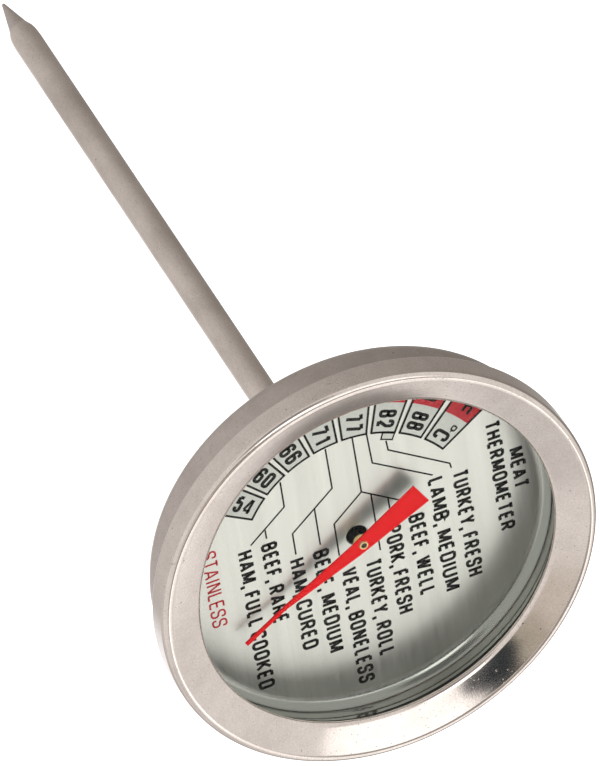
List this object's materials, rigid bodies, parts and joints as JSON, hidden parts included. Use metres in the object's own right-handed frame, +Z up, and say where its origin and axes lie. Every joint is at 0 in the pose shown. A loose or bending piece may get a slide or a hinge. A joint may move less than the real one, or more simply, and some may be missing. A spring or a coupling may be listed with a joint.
{
  "type": "meat thermometer",
  "caption": "Dial meat thermometer: round crimped steel case with glass front and red pointer, on a pointed steel stem that holds a bimetal helix.",
  "frame": {"origin": "on the stem's axis, at the upper end of the bare stem, where it leaves the bush on the back of the case", "axes": "+Z up the stem and out through the dial's face; +Y towards the top of the dial (12 o'clock); +X towards its right (3 o'clock), the way its lettering reads"},
  "size_m": [0.06, 0.06, 0.1342],
  "materials": {
    "case_steel": "satin stainless steel, drawn",
    "bezel_steel": "satin stainless steel with fine specks",
    "stem_steel": "satin stainless steel tube with marks of use",
    "tip_steel": "ground stainless steel",
    "inner_steel": "plain steel",
    "dial_aluminium": "finely brushed, clear lacquer",
    "lens_glass": "clear flat glass",
    "seal_rubber": "black silicone rubber",
    "guide_plastic": "black acetal, matt",
    "brass": "turned brass",
    "bimetal": "rolled bimetal strip, heat tinted",
    "pointer_red": "semi-gloss red paint",
    "print_black": "black screen print",
    "print_red": "red screen print",
    "print_white": "white screen print"
  },
  "bodies": {
    "case": {"case_cup": "case_steel", "bezel_ring": "bezel_steel", "lens_glass": "lens_glass", "lens_gasket": "seal_rubber", "lens_seat": "seal_rubber", "dial_plate": "dial_aluminium", "stem_bush": "case_steel", "stem_seal": "seal_rubber", "stem_washer": "inner_steel", "stem_lock_nut": "inner_steel", "stem_tube": "stem_steel", "probe_tip": "tip_steel", "upper_guide_bush": "guide_plastic", "lower_guide_bush": "brass", "coil_anchor": "brass", "bimetal_coil": "bimetal"},
    "pointer": {"coil_collar": "brass", "pointer_shaft": "inner_steel", "pointer_hub": "brass", "pointer_blade": "pointer_red"}
  },
  "joints": [
    {"name": "pointer_turn", "type": "hinge", "parent": "case", "child": "pointer", "pos_m": [0, 0, 0], "axis": [0, 0, -1], "range_deg": [-77, 187], "stiffness_Nm_per_rad": 0.001, "deforming": ["bimetal_coil"]}
  ]
}
